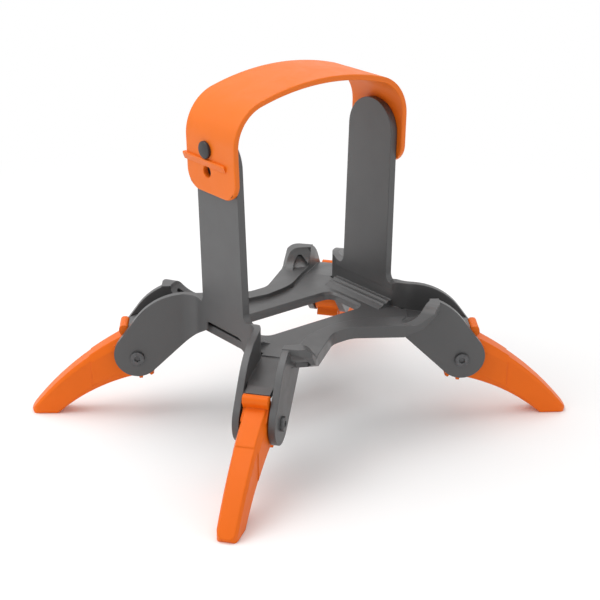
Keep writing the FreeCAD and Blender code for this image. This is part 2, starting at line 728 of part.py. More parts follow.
def leg():
    """One leg: hub with detent ridges, stop lip, blade with a stepped sleeve at its root."""
    hub = cylinder(HUB_R, -LEG_HALF, LEG_HALF)
    done = (STEP_S - LEG_ROOT_S) / (LEG_REACH - LEG_ROOT_S)
    flank_at_step = LEG_HALF + (FLANK_TOE_HALF - LEG_HALF) * done - STEP_INSET
    side = LEG_HALF + OVERRUN
    plan = prism([
        (-HUB_R, -side),
        (STEP_S, -side),
        (STEP_S, -flank_at_step),
        (LEG_REACH, -FLANK_TOE_HALF + STEP_INSET, TOE_R),
        (LEG_REACH, FLANK_TOE_HALF - STEP_INSET, TOE_R),
        (STEP_S, flank_at_step),
        (STEP_S, side),
        (-HUB_R, side),
    ], "xy", 0, LIP_TOP_Z)
    blade = leg_blade().common(plan)
    lip_out = LIP_IN + LIP_T
    lip = prism([
        (LIP_IN - LIP_ROOT_IN, LIP_ROOT_Z),
        (LIP_IN, LIP_TOP_Z - LIP_FACE_HEIGHT),
        (LIP_IN, LIP_TOP_Z, LIP_R),
        (lip_out, LIP_TOP_Z, LIP_R),
        (lip_out + LIP_NOSE, LIP_TOP_Z - LIP_NOSE_DROP),
        (lip_out - LIP_UNDER_IN, LIP_TOP_Z - LIP_UNDER_DROP),
        (lip_out + LIP_HEEL, LIP_ROOT_Z),
    ], "xz", -LEG_HALF + LIP_SIDE, LEG_HALF - LIP_SIDE)
    body = hub.multiFuse([blade, lip] + [detent(a) for a in DETENT_ANGLES_DEG])
    hub_top = PIVOT_Z + HUB_R
    web_room = prism([
        (-WEB_ROOM, hub_top),
        (LIP_IN - WEB_ROOM_IN, hub_top),
        (LIP_IN, LIP_TOP_Z + WEB_ROOM_RISE),
        (-WEB_ROOM, LIP_TOP_Z + WEB_ROOM_RISE),
    ], "xz", -side, side)
    return body.cut([web_room, cylinder(BORE_R, -side, side)]).removeSplitter()


def pivot_head():
    """Round head seated on the cheek at Y > 0."""
    return cylinder(HEAD_R, HEAD_SEAT, HEAD_SEAT + HEAD_T)


def pivot_screw():
    """Screw with its head on the inner cheek and its shank inside the barrel."""
    return pivot_head().fuse(cylinder(SCREW_R, -HEAD_SEAT + SCREW_SHORT, HEAD_SEAT)).removeSplitter()


def pivot_barrel():
    """Flanged barrel through both cheeks and the leg, bored from its open end."""
    tube = cylinder(BARREL_R, -HEAD_SEAT, HEAD_SEAT - BARREL_SHORT)
    body = pivot_head().mirror(ORIGIN, AXIS_Y).fuse(tube)
    bore = cylinder(SCREW_R + THREAD_CLEARANCE, -HEAD_SEAT + BORE_FLOOR, HEAD_SEAT)
    return body.cut(bore).removeSplitter()


def strap_wire(inset, level):
    """Arch outline at one offset of the strap's thickness, closed along its lower ends."""
    lean_angle = math.radians(PLATE_LEAN_DEG)
    crown_z = STRAP_TOP_Z - STRAP_CROWN_R
    outer_face = PLATE_T + STRAP_SEAT_GAP + STRAP_T - STRAP_SHOULDER_R
    clear = PLATE_IN_X * math.cos(lean_angle) + (crown_z - NOTCH_Z) * math.sin(lean_angle) + outer_face
    along = math.sqrt((STRAP_CROWN_R - STRAP_SHOULDER_R) ** 2 - clear ** 2)
    shoulder_x = clear * math.cos(lean_angle) + along * math.sin(lean_angle)
    shoulder_z = crown_z - clear * math.sin(lean_angle) + along * math.cos(lean_angle)
    crown_angle = math.atan2(shoulder_x, shoulder_z - crown_z)
    low_angle = math.pi / 2 + lean_angle
    shoulder_r = STRAP_SHOULDER_R - inset

    def on_shoulder(angle):
        return FreeCAD.Vector(
            shoulder_x + shoulder_r * math.sin(angle), level, shoulder_z + shoulder_r * math.cos(angle))

    joints = [on_shoulder(a) for a in (low_angle, (low_angle + crown_angle) / 2, crown_angle)]
    mirror = [FreeCAD.Vector(-p.x, p.y, p.z) for p in joints]
    start_x = joints[0].x - (joints[0].z - STRAP_END_Z) * math.tan(lean_angle)
    start = FreeCAD.Vector(start_x, level, STRAP_END_Z)
    finish = FreeCAD.Vector(-start_x, level, STRAP_END_Z)
    top = FreeCAD.Vector(0, level, STRAP_TOP_Z - inset)
    edges = [
        Part.LineSegment(start, joints[0]),
        Part.Arc(joints[0], joints[1], joints[2]),
        Part.Arc(joints[2], top, mirror[2]),
        Part.Arc(mirror[2], mirror[1], mirror[0]),
        Part.LineSegment(mirror[0], finish),
        Part.LineSegment(finish, start),
    ]
    return Part.Wire([e.toShape() for e in edges])


def carry_strap():
    """Soft band over the top, outside both plates, with stud holes and grip ridges at each end."""
    width = FreeCAD.Vector(0, 2 * STRAP_HALF_WIDTH, 0)
    outer = Part.Face(strap_wire(0.0, -STRAP_HALF_WIDTH)).extrude(width)
    inner = Part.Face(strap_wire(STRAP_T, -STRAP_HALF_WIDTH)).extrude(width)
    band = outer.cut(inner)
    elevation = prism([
        (-STRAP_HALF_WIDTH, STRAP_END_Z, STRAP_END_R),
        (STRAP_HALF_WIDTH, STRAP_END_Z, STRAP_END_R),
        (STRAP_HALF_WIDTH, STRAP_TOP_Z + OVERRUN),
        (-STRAP_HALF_WIDTH, STRAP_TOP_Z + OVERRUN),
    ], "yz", -ROOM, ROOM)
    band = band.common(elevation)
    additions = []
    holes = []
    for side in SIDES.values():
        additions.append(to_quadrant(lean(grip_ridge()), (side, 1)))
        for hole_z in (STUD_Z, SPARE_HOLE_Z):
            centre = FreeCAD.Vector(PLATE_IN_X, HOLE_OFFSET_Y, hole_z)
            hole = Part.makeCylinder(STRAP_HOLE_R, ROOM, centre, AXIS_X)
            holes.append(to_quadrant(lean(hole), (side, 1)))
    return band.multiFuse(additions).cut(holes).removeSplitter()


def grip_ridge():
    """Finger ridge across one strap end, rounded where it stops and proud of one edge."""
    face_x = PLATE_OUT_X + STRAP_SEAT_GAP
    return prism([
        (-GRIP_END_Y, GRIP_LOW_Z, GRIP_HEIGHT * GRIP_ROUND),
        (STRAP_HALF_WIDTH + GRIP_OVERHANG, GRIP_LOW_Z),
        (STRAP_HALF_WIDTH + GRIP_OVERHANG, GRIP_HIGH_Z),
        (-GRIP_END_Y, GRIP_HIGH_Z, GRIP_HEIGHT * GRIP_ROUND),
    ], "yz", face_x + STRAP_T - GRIP_SINK, face_x + STRAP_T + GRIP_RISE)


def strap_stud(side):
    """Button whose neck passes through the strap into the plate's blind socket."""
    seat = PLATE_OUT_X + STRAP_SEAT_GAP + STRAP_T + STUD_SEAT_GAP
    base = PLATE_OUT_X - STUD_SOCKET_DEPTH
    head = Part.makeCylinder(
        STUD_HEAD_R, STUD_HEAD_T, FreeCAD.Vector(seat, HOLE_OFFSET_Y, STUD_Z), AXIS_X)
    neck = Part.makeCylinder(
        STUD_NECK_R, seat - base, FreeCAD.Vector(base, HOLE_OFFSET_Y, STUD_Z), AXIS_X)
    return to_quadrant(lean(head.fuse(neck)), (side, 1))


def build():
    """Every sub-part by node name."""
    nodes = {"cradle_frame": cradle_frame(), "carry_strap": carry_strap()}
    for name, side in SIDES.items():
        nodes["strap_stud_" + name] = strap_stud(side)
    for name, signs in ARMS.items():
        nodes["leg_" + name] = to_quadrant(to_arm(leg()), signs)
        nodes["pivot_barrel_" + name] = to_quadrant(to_arm(pivot_barrel()), signs)
        nodes["pivot_screw_" + name] = to_quadrant(to_arm(pivot_screw()), signs)
    return nodes


os.makedirs("parts", exist_ok=True)
for node, shape in build().items():
    shape.exportStep("parts/" + node + ".step")
    print(node, "solids", len(shape.Solids), "volume", round(shape.Volume, 1), "valid", shape.isValid())
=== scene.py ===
import json
import logging
import math
from dataclasses import dataclass, field
from enum import Enum

import bmesh
import bpy
from mathutils import Matrix, Vector

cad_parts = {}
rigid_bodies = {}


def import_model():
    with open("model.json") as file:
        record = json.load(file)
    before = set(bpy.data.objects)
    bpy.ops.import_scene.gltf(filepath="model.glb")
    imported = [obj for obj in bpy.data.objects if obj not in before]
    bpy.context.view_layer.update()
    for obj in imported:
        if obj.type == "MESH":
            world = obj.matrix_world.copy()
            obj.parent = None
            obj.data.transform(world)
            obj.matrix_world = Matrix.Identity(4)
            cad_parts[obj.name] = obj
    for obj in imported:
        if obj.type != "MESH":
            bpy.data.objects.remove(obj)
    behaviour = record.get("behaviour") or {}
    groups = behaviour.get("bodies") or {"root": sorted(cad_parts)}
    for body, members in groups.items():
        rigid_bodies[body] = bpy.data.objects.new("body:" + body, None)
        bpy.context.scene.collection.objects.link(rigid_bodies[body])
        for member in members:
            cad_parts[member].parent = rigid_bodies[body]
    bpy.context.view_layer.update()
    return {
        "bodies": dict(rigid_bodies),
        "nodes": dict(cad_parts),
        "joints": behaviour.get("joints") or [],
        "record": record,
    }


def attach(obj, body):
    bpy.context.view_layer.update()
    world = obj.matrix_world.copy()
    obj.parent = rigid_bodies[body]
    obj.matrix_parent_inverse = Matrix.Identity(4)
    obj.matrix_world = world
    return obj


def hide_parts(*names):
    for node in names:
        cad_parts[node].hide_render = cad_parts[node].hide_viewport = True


MM = 0.001
ARMS = {"front_left": (-1, -1), "front_right": (1, -1), "rear_left": (-1, 1), "rear_right": (1, 1)}
ROUND_PROFILE = 0.5
BEVEL_SAMPLES = 6
MERGE_DISTANCE = 1e-6
WHITE = (1.0, 1.0, 1.0, 1.0)
log = logging.getLogger("landing_gear")


class Side(Enum):
    """The two ends of the carry strap, by the sign of X."""

    LEFT = -1
    RIGHT = 1


class Slot(Enum):
    """Material slots of the record."""

    FRAME = "frame_plastic"
    LEG = "orange_plastic"
    STRAP = "orange_elastomer"
    STUD = "dark_plastic"
    HARDWARE = "pivot_steel"


class NodeGraph:
    """Short way to add and join the nodes of one material."""

    def __init__(self, name: str) -> None:
        """Start an empty material.

        Args:
            name: Name of the material.
        """
        self.material = bpy.data.materials.new(name)
        self.material.use_nodes = True
        self.tree = self.material.node_tree
        self.tree.nodes.clear()

    def add(self, kind: str, inputs: dict | None = None, **settings: object) -> bpy.types.Node:
        """Add a node.

        Args:
            kind: Blender's type name of the node.
            inputs: Values or sockets for its inputs, by name or index.
            settings: Attributes to set on the node.

        Returns:
            The new node.
        """
        node = self.tree.nodes.new(kind)
        for key, value in settings.items():
            setattr(node, key, value)
        for key, value in (inputs or {}).items():
            if isinstance(value, bpy.types.NodeSocket):
                self.tree.links.new(value, node.inputs[key])
            else:
                node.inputs[key].default_value = value
        return node

    def ramp(self, factor: bpy.types.NodeSocket, stops: list[tuple[float, tuple]]) -> bpy.types.NodeSocket:
        """Map a factor through a colour ramp.

        Args:
            factor: Socket that drives the ramp.
            stops: Position and RGB colour of its two stops.

        Returns:
            The ramp's colour socket.
        """
        node = self.add("ShaderNodeValToRGB", {"Fac": factor})
        for element, (position, colour) in zip(node.color_ramp.elements, stops):
            element.position = position
            element.color = (*colour, 1.0)
        return node.outputs["Color"]


def shade(colour: tuple[float, float, float], gain: float) -> tuple[float, float, float]:
    """Colour made lighter or darker by a gain."""
    return tuple(min(1.0, c * gain) for c in colour)


@dataclass(frozen=True)
class MouldedFinish:
    """Moulded plastic or elastomer: eroded grain, faint flow mottling and edges lightened by a painted
    highlight.

    Lengths are in millimetres. Noise scales count features per metre.
    """

    name: str
    colour: tuple[float, float, float]
    roughness: float
    grain: float = 0.28
    grain_depth: float = 0.02
    mottle: float = 0.05
    edge_radius: float = 0.35
    # Colour gain of the painted highlight along the edges.
    edge_highlight_gain: float = 1.35
    scuff: float = 0.10
    subsurface: float = 0.0
    specular: float = 0.5
    ior: float = 1.5
    subsurface_radii: tuple[float, float, float] = (0.8, 0.35, 0.15)
    fine_detail: float = 3.0
    fine_roughness: float = 0.6
    fine_strength: float = 0.7
    pit_share: float = 0.6
    pit_strength: float = 0.5
    # Width of the painted edge highlight, in edge radii.
    highlight_reach: float = 1.6
    flat_facing: float = 0.98
    edge_facing: float = 0.80
    cloud_scale: float = 55.0
    cloud_detail: float = 4.0
    # Noise that breaks the painted edge highlight into patches.
    highlight_patch_scale: float = 420.0
    highlight_patch_detail: float = 5.0
    mark_scale: float = 130.0
    mark_detail: float = 6.0
    mark_distortion: float = 0.8
    noise_low: float = 0.3
    noise_high: float = 0.7

    def build(self) -> bpy.types.Material:
        """Make the material.

        Returns:
            The finished material.
        """
        graph = NodeGraph(self.name)
        place = graph.add("ShaderNodeTexCoord").outputs["Object"]
        normal = self.relief(graph, place)
        shader = graph.add("ShaderNodeBsdfPrincipled", {
            "Base Color": self.tint(graph, place),
            "Roughness": self.gloss(graph, place),
            "Normal": normal,
            "IOR": self.ior,
            "Subsurface Weight": self.subsurface,
            "Subsurface Radius": tuple(radius * MM for radius in self.subsurface_radii),
            "Subsurface Scale": 1.0,
            "Specular IOR Level": self.specular,
        })
        graph.add("ShaderNodeOutputMaterial", {"Surface": shader.outputs["BSDF"]})
        return graph.material

    def relief(self, graph: NodeGraph, place: bpy.types.NodeSocket) -> bpy.types.NodeSocket:
        """Rounded edges with two sizes of eroded grain on them.

        Args:
            graph: Material being made.
            place: Object coordinates.

        Returns:
            Normal socket.
        """
        soft = graph.add("ShaderNodeBevel", {"Radius": self.edge_radius * MM}, samples=BEVEL_SAMPLES)
        fine = graph.add("ShaderNodeTexNoise", {
            "Vector": place, "Scale": 1.0 / (self.grain * MM), "Detail": self.fine_detail,
            "Roughness": self.fine_roughness})
        pits = graph.add("ShaderNodeTexVoronoi", {
            "Vector": place, "Scale": self.pit_share / (self.grain * MM), "Randomness": 1.0})
        coarse = graph.add("ShaderNodeBump", {
            "Height": pits.outputs["Distance"], "Strength": self.pit_strength,
            "Distance": self.grain_depth * MM, "Normal": soft.outputs["Normal"]})
        return graph.add("ShaderNodeBump", {
            "Height": fine.outputs["Fac"], "Strength": self.fine_strength,
            "Distance": self.grain_depth * MM, "Normal": coarse.outputs["Normal"]}).outputs["Normal"]

    def edges(self, graph: NodeGraph) -> bpy.types.NodeSocket:
        """Mask that is 1 along edges and 0 on open faces.

        Args:
            graph: Material being made.

        Returns:
            Mask socket.
        """
        reach = self.highlight_reach * self.edge_radius * MM
        soft = graph.add("ShaderNodeBevel", {"Radius": reach}, samples=BEVEL_SAMPLES)
        flat = graph.add("ShaderNodeNewGeometry").outputs["Normal"]
        facing = graph.add("ShaderNodeVectorMath", {
            0: soft.outputs["Normal"], 1: flat}, operation="DOT_PRODUCT")
        return graph.add("ShaderNodeMapRange", {
            "Value": facing.outputs["Value"], "From Min": self.flat_facing, "From Max": self.edge_facing,
            "To Min": 0.0, "To Max": 1.0}).outputs["Result"]

    def tint(self, graph: NodeGraph, place: bpy.types.NodeSocket) -> bpy.types.NodeSocket:
        """Colour with cloudy mottling and a painted highlight that lightens the edges in noisy patches.

        Args:
            graph: Material being made.
            place: Object coordinates.

        Returns:
            Colour socket.
        """
        cloud = graph.add("ShaderNodeTexNoise", {
            "Vector": place, "Scale": self.cloud_scale, "Detail": self.cloud_detail})
        base = graph.ramp(cloud.outputs["Fac"], [
            (self.noise_low, shade(self.colour, 1.0 - self.mottle)),
            (self.noise_high, shade(self.colour, 1.0 + self.mottle))])
        # Painted highlight: the edges are lightened in noisy patches.
        highlight_patches = graph.add("ShaderNodeTexNoise", {
            "Vector": place, "Scale": self.highlight_patch_scale, "Detail": self.highlight_patch_detail})
        patchy_highlight = graph.add("ShaderNodeMath", {
            0: self.edges(graph), 1: highlight_patches.outputs["Fac"]}, operation="MULTIPLY")
        painted_highlight = graph.add("ShaderNodeMix", {
            "Factor": patchy_highlight.outputs["Value"], "A": base,
            "B": (*shade(self.colour, self.edge_highlight_gain), 1.0)}, data_type="RGBA")
        return painted_highlight.outputs["Result"]

    def gloss(self, graph: NodeGraph, place: bpy.types.NodeSocket) -> bpy.types.NodeSocket:
        """Roughness with faint handling marks.

        Args:
            graph: Material being made.
            place: Object coordinates.

        Returns:
            Roughness socket.
        """
        marks = graph.add("ShaderNodeTexNoise", {
            "Vector": place, "Scale": self.mark_scale, "Detail": self.mark_detail,
            "Distortion": self.mark_distortion})
        return graph.add("ShaderNodeMapRange", {
            "Value": marks.outputs["Fac"], "From Min": self.noise_low, "From Max": self.noise_high,
            "To Min": self.roughness - self.scuff / 2,
            "To Max": self.roughness + self.scuff / 2}).outputs["Result"]


@dataclass(frozen=True)
class SteelFinish:
    """Grey coated steel with a fine grit. Lengths are in millimetres."""

    name: str
    colour: tuple[float, float, float]
    roughness: float = 0.38
    metallic: float = 0.6
    edge_radius: float = 0.12
    cloud_scale: float = 900.0
    cloud_detail: float = 5.0
    cloud_low: float = 0.35
    cloud_high: float = 0.7
    dark_gain: float = 0.85
    light_gain: float = 1.3
    gloss_drop: float = 0.08
    gloss_rise: float = 0.12
    grit_scale: float = 6000.0
    grit_detail: float = 2.0
    grit_strength: float = 0.4
    grit_depth: float = 0.01

    def build(self) -> bpy.types.Material:
        """Make the material.

        Returns:
            The finished material.
        """
        graph = NodeGraph(self.name)
        place = graph.add("ShaderNodeTexCoord").outputs["Object"]
        cloud = graph.add("ShaderNodeTexNoise", {
            "Vector": place, "Scale": self.cloud_scale, "Detail": self.cloud_detail})
        tint = graph.ramp(cloud.outputs["Fac"], [
            (self.cloud_low, shade(self.colour, self.dark_gain)),
            (self.cloud_high, shade(self.colour, self.light_gain))])
        gloss = graph.add("ShaderNodeMapRange", {
            "Value": cloud.outputs["Fac"], "To Min": self.roughness - self.gloss_drop,
            "To Max": self.roughness + self.gloss_rise})
        soft = graph.add("ShaderNodeBevel", {"Radius": self.edge_radius * MM}, samples=BEVEL_SAMPLES)
        grit = graph.add("ShaderNodeTexNoise", {
            "Vector": place, "Scale": self.grit_scale, "Detail": self.grit_detail})
        bump = graph.add("ShaderNodeBump", {
            "Height": grit.outputs["Fac"], "Strength": self.grit_strength,
            "Distance": self.grit_depth * MM, "Normal": soft.outputs["Normal"]})
        shader = graph.add("ShaderNodeBsdfPrincipled", {
            "Base Color": tint, "Roughness": gloss.outputs["Result"], "Metallic": self.metallic,
            "Normal": bump.outputs["Normal"]})
        graph.add("ShaderNodeOutputMaterial", {"Surface": shader.outputs["BSDF"]})
        return graph.material


FRAME_FINISH = MouldedFinish("frame_plastic", (0.066, 0.066, 0.067), 0.38, edge_radius=0.45, specular=0.7)
LEG_FINISH = MouldedFinish(
    "orange_plastic", (0.84, 0.150, 0.004), 0.44, edge_radius=0.9, edge_highlight_gain=1.10, mottle=0.03,
    subsurface=0.03, specular=0.22)
STRAP_FINISH = MouldedFinish(
    "orange_elastomer", (0.83, 0.168, 0.006), 0.46, grain=0.36, edge_radius=0.2, edge_highlight_gain=1.06,
    mottle=0.025, subsurface=0.04, specular=0.34)
# The stud's dark edges get a strong painted highlight.
STUD_FINISH = MouldedFinish(
    "dark_plastic", (0.016, 0.015, 0.016), 0.42, grain=0.2, edge_radius=0.15, edge_highlight_gain=1.8)
STEEL_FINISH = SteelFinish("pivot_steel", (0.10, 0.10, 0.103))


class Workshop:
    """Keeps one material per slot and dresses pieces with it."""

    def __init__(self) -> None:
        """Build every finish once."""
        self.materials = {
            Slot.FRAME: FRAME_FINISH.build(),
            Slot.LEG: LEG_FINISH.build(),
            Slot.STRAP: STRAP_FINISH.build(),
            Slot.STUD: STUD_FINISH.build(),
            Slot.HARDWARE: STEEL_FINISH.build(),
        }

    def dress(self, piece: bpy.types.Object, slot: Slot) -> None:
        """Give a piece the one material of a slot.

        Args:
            piece: Object to dress.
            slot: Material slot of the record.
        """
        piece.data.materials.clear()
        piece.data.materials.append(self.materials[slot])

    def finish_mesh(self, name: str, mesh: bmesh.types.BMesh, slot: Slot, body: str,
                    smooth_deg: float = 40.0) -> bpy.types.Object:
        """Turn a finished bmesh into a dressed object that rides on a body.

        Args:
            name: Name of the piece.
            mesh: Its geometry, in metres, in the row's frame. It is freed.
            slot: Material slot.
            body: CAD body that carries it.
            smooth_deg: Edges sharper than this stay sharp.

        Returns:
            The new object.
        """
        bmesh.ops.recalc_face_normals(mesh, faces=mesh.faces)
        for face in mesh.faces:
            face.smooth = True
        data = bpy.data.meshes.new(name)
        mesh.to_mesh(data)
        mesh.free()
        data.set_sharp_from_angle(angle=math.radians(smooth_deg))
        piece = bpy.data.objects.new(name, data)
        bpy.context.scene.collection.objects.link(piece)
        self.dress(piece, slot)
        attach(piece, body)
        return piece


@dataclass
class CradleFrame:
    """One-piece moulded frame, shown as the CAD solid."""

    node: str = "cradle_frame"

    def dress(self, frame: dict, shop: Workshop) -> None:
        """Give the frame its grey finish."""
        shop.dress(frame["nodes"][self.node], Slot.FRAME)
        log.info("dressed %s", self.node)


@dataclass
class FoldingLeg:
    """One leg, shown as the CAD solid."""

    arm: str

    def dress(self, frame: dict, shop: Workshop) -> None:
        """Give the leg its orange finish."""
        shop.dress(frame["nodes"]["leg_" + self.arm], Slot.LEG)
        log.info("dressed leg_%s", self.arm)


@dataclass
class PivotHardware:
    """Barrel and screw of one pivot, both with a bevelled head and a hexagon socket. Millimetres."""

    arm: str
    signs: tuple[int, int]
    axis_x: float = 47.1
    axis_y: float = 38.3
    axis_z: float = 24.5
    yaw_deg: float = 36.5
    seat: float = 7.67
    head_r: float = 2.7
    head_t: float = 1.2
    head_bevel: float = 0.3
    bevel_share: float = 0.3
    socket_lip: float = 0.1
    socket_lip_depth: float = 0.08
    hex_flat: float = 2.1
    hex_depth: float = 0.8
    barrel_r: float = 2.0
    barrel_short: float = 0.2
    bore_r: float = 1.3
    bore_floor: float = 2.6
    screw_r: float = 1.25
    screw_short: float = 3.0
    smooth_deg: float = 25.0
    steps: int = 48

    def ring(self, mesh: bmesh.types.BMesh, height: float, radius: float, hexagon: bool) -> None:
        """Move the newest loop of the turned piece to a height along the axis.

        Args:
            mesh: Piece being turned; its boundary is the newest loop.
            height: Height of the loop along the axis.
            radius: Radius of the loop, or half the distance across the flats of a hexagon.
            hexagon: Whether the loop is a hexagon instead of a circle.
        """
        loop = {v for e in mesh.edges if e.is_boundary for v in e.verts}
        for vert in loop:
            angle = math.atan2(vert.co.y, vert.co.x)
            reach = radius
            if hexagon:
                third = math.pi / 3
                reach = radius / math.cos((angle % third) - third / 2)
            vert.co = Vector((reach * math.cos(angle), reach * math.sin(angle), height))

    def turned(self, path: list[tuple[float, float, bool]]) -> bmesh.types.BMesh:
        """Turned solid from the floor of its socket to its far end.

        Args:
            path: Height, radius and whether it is a hexagon, for each loop in order.

        Returns:
            The closed solid along Z.
        """
        mesh = bmesh.new()
        bmesh.ops.create_circle(mesh, cap_ends=True, segments=self.steps, radius=1.0)
        self.ring(mesh, *path[0])
        for step in path[1:]:
            border = [e for e in mesh.edges if e.is_boundary]
            bmesh.ops.extrude_edge_only(mesh, edges=border)
            self.ring(mesh, *step)
        bmesh.ops.holes_fill(mesh, edges=[e for e in mesh.edges if e.is_boundary], sides=0)
        return mesh

    def head(self) -> list[tuple[float, float, bool]]:
        """Loops of the head, from the floor of its socket to the edge of its seat.

        Returns:
            Height, radius and whether it is a hexagon, for each loop in order.
        """
        top = self.seat + self.head_t
        flat = self.hex_flat / 2
        return [
            (top - self.hex_depth, flat, True),
            (top - self.socket_lip_depth, flat, True),
            (top, flat + self.socket_lip, True),
            (top, self.head_r - self.head_bevel, False),
            (top - self.head_bevel * self.bevel_share,
             self.head_r - self.head_bevel * self.bevel_share, False),
            (top - self.head_bevel, self.head_r, False),
            (self.seat, self.head_r, False),
        ]

    def place(self, mesh: bmesh.types.BMesh, flip: bool) -> None:
        """Carry a turned piece onto its arm, in metres.

        Args:
            mesh: Piece along Z with its head up.
            flip: Whether the head is on the outer cheek instead of the inner one.
        """
        yaw = math.radians(self.yaw_deg)
        across = Vector((-math.sin(yaw), math.cos(yaw), 0)) * (-1.0 if flip else 1.0)
        turn = across.to_track_quat("Z", "X").to_matrix()
        bmesh.ops.rotate(mesh, cent=(0, 0, 0), matrix=turn, verts=mesh.verts)
        bmesh.ops.translate(mesh, vec=(self.axis_x, self.axis_y, self.axis_z), verts=mesh.verts)
        size = (self.signs[0] * MM, self.signs[1] * MM, MM)
        bmesh.ops.scale(mesh, vec=size, verts=mesh.verts)

    def build(self, shop: Workshop) -> None:
        """Make both pieces in place of the plain CAD solids.

        Args:
            shop: Source of the materials.
        """
        screw = self.turned(self.head() + [
            (self.seat, self.screw_r, False),
            (-self.seat + self.screw_short, self.screw_r, False),
        ])
        barrel = self.turned(self.head() + [
            (self.seat, self.barrel_r, False),
            (-self.seat + self.barrel_short, self.barrel_r, False),
            (-self.seat + self.barrel_short, self.bore_r, False),
            (self.seat - self.bore_floor, self.bore_r, False),
        ])
        for name, mesh, flip in (("screw", screw, False), ("barrel", barrel, True)):
            self.place(mesh, flip)
            piece = shop.finish_mesh(
                f"turned_{name}_{self.arm}", mesh, Slot.HARDWARE, "cradle", self.smooth_deg)
            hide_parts(f"pivot_{name}_{self.arm}")
        log.info("built the pivot of leg_%s", self.arm)


